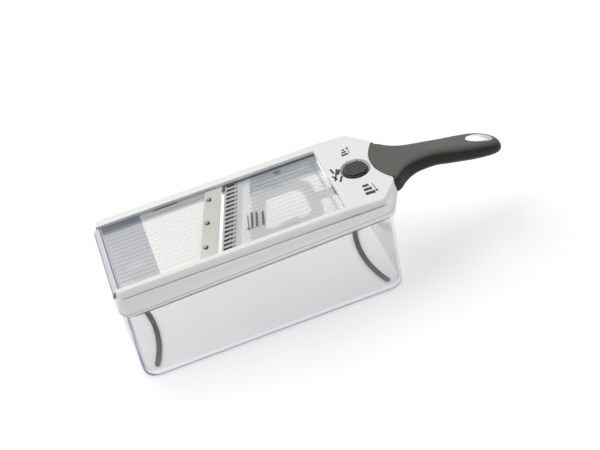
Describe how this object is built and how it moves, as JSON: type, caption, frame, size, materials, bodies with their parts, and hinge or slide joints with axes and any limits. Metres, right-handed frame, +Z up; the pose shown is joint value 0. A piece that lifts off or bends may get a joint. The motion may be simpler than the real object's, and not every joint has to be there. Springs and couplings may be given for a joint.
{
  "type": "mandoline slicer",
  "caption": "Hand mandoline slicer with slanted blade, julienne comb and dial-set feed plate, resting on a clear catch container.",
  "frame": {"origin": "middle of the whole object's footprint, on the surface that the container stands on", "axes": "+Z up, +X along the slicer towards the handle, +Y across it"},
  "size_m": [0.3744, 0.1254, 0.1012],
  "materials": {
    "clear_container": "polished clear plastic with a faint blue edge",
    "foot_rubber": "matte",
    "white_plastic": "satin gloss",
    "clear_deck": "polished, ribbed, blue-grey tint",
    "clear_runway": "polished, ribbed, blue-grey tint",
    "blade_steel": "satin",
    "rivet_steel": "satin",
    "comb_steel": "bright",
    "screw_steel": "zinc",
    "grey_plastic": "fine matte",
    "black_plastic": "satin",
    "core_plastic": "matte",
    "soft_grip": "soft touch, matte",
    "inlay_plastic": "satin gloss"
  },
  "bodies": {
    "container": {"container": "clear_container", "foot_strip_left": "foot_rubber", "foot_strip_right": "foot_rubber"},
    "slicer": {"main_frame": "white_plastic", "landing_deck": "clear_deck", "blade": "blade_steel", "blade_rivet_1": "rivet_steel", "blade_rivet_2": "rivet_steel", "blade_rivet_3": "rivet_steel", "runway_hinge_pin": "screw_steel", "detent_spring": "screw_steel", "mechanism_cover": "white_plastic", "cover_screw_1": "screw_steel", "cover_screw_2": "screw_steel", "cover_screw_3": "screw_steel", "cover_screw_4": "screw_steel", "handle_core": "core_plastic", "handle_screw_1": "screw_steel", "handle_screw_2": "screw_steel", "handle_grip": "soft_grip", "handle_inlay": "inlay_plastic"},
    "dial": {"knob": "black_plastic", "knob_shaft": "black_plastic", "knob_screw": "screw_steel"},
    "yoke": {"adjuster_yoke": "grey_plastic"},
    "feed_plate": {"runway": "clear_runway"},
    "comb": {"julienne_comb": "comb_steel", "comb_carrier": "white_plastic"}
  },
  "joints": [
    {"name": "slicer_lift", "type": "slide", "parent": "container", "child": "slicer", "axis": [0, 0, 1], "range_m": [0, 0.12]},
    {"name": "knob_turn", "type": "hinge", "parent": "slicer", "child": "dial", "pos_m": [0.04943, 0, 0.0975], "axis": [0, 0, 1], "range_deg": [-90, 90]},
    {"name": "yoke_slide", "type": "slide", "parent": "slicer", "child": "yoke", "axis": [1, 0, 0], "range_m": [-0.00408, 0.00408]},
    {"name": "runway_tilt", "type": "hinge", "parent": "slicer", "child": "feed_plate", "pos_m": [0.0196, 0, 0.0907], "axis": [0, 1, 0], "range_deg": [-0.72, 0.72]},
    {"name": "comb_lift", "type": "slide", "parent": "slicer", "child": "comb", "axis": [0, 0, 1], "range_m": [0, 0.0032]}
  ],
  "couplings": [
    {"joint": "knob_turn", "follows": "yoke_slide", "rad_per_m": 384.62},
    {"joint": "runway_tilt", "follows": "yoke_slide", "rad_per_m": -2.9914}
  ]
}
